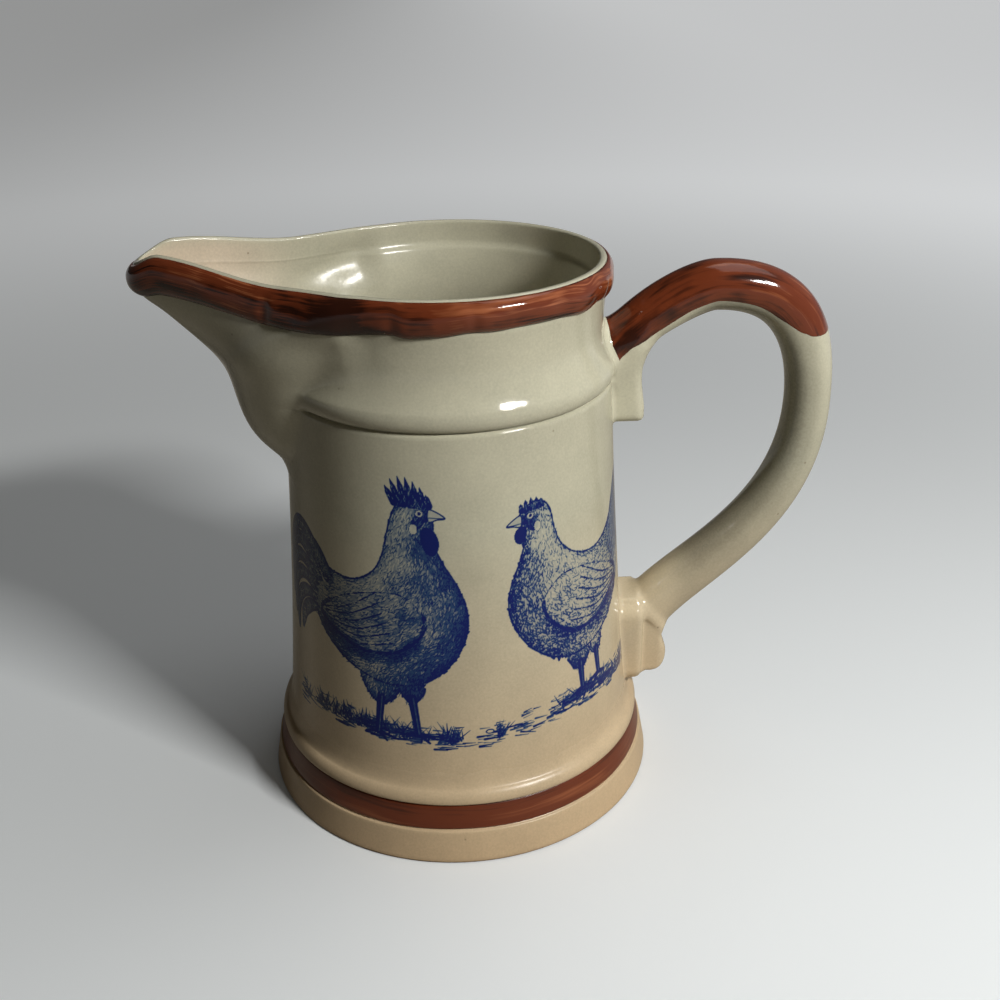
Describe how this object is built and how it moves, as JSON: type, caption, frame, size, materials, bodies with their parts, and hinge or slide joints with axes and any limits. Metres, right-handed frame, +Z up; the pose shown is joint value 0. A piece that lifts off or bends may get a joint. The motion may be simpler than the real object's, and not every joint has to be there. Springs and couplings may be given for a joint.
{
  "type": "stoneware milk pitcher",
  "caption": "Cream stoneware pitcher with a tapered barrel, flared foot, pulled spout, strap handle and brown painted rim.",
  "frame": {"origin": "centre of the foot ring on the plane that it stands on", "axes": "+Z up along the barrel's axis, +X out through the handle, -X out through the spout"},
  "size_m": [0.2181, 0.1324, 0.1829],
  "materials": {
    "body_glaze": "glossy warm cream glaze with fine mottling",
    "brown_slip": "glossy red-brown brushed slip with darker streaks"
  },
  "bodies": {
    "root": {"foot": "body_glaze", "barrel": "body_glaze", "collar": "body_glaze", "spout": "body_glaze", "rim_roll": "brown_slip", "handle": "body_glaze", "upper_root_tail": "body_glaze", "lower_root_pad": "body_glaze", "handle_paint": "brown_slip", "foot_stripe": "brown_slip"}
  },
  "joints": []
}
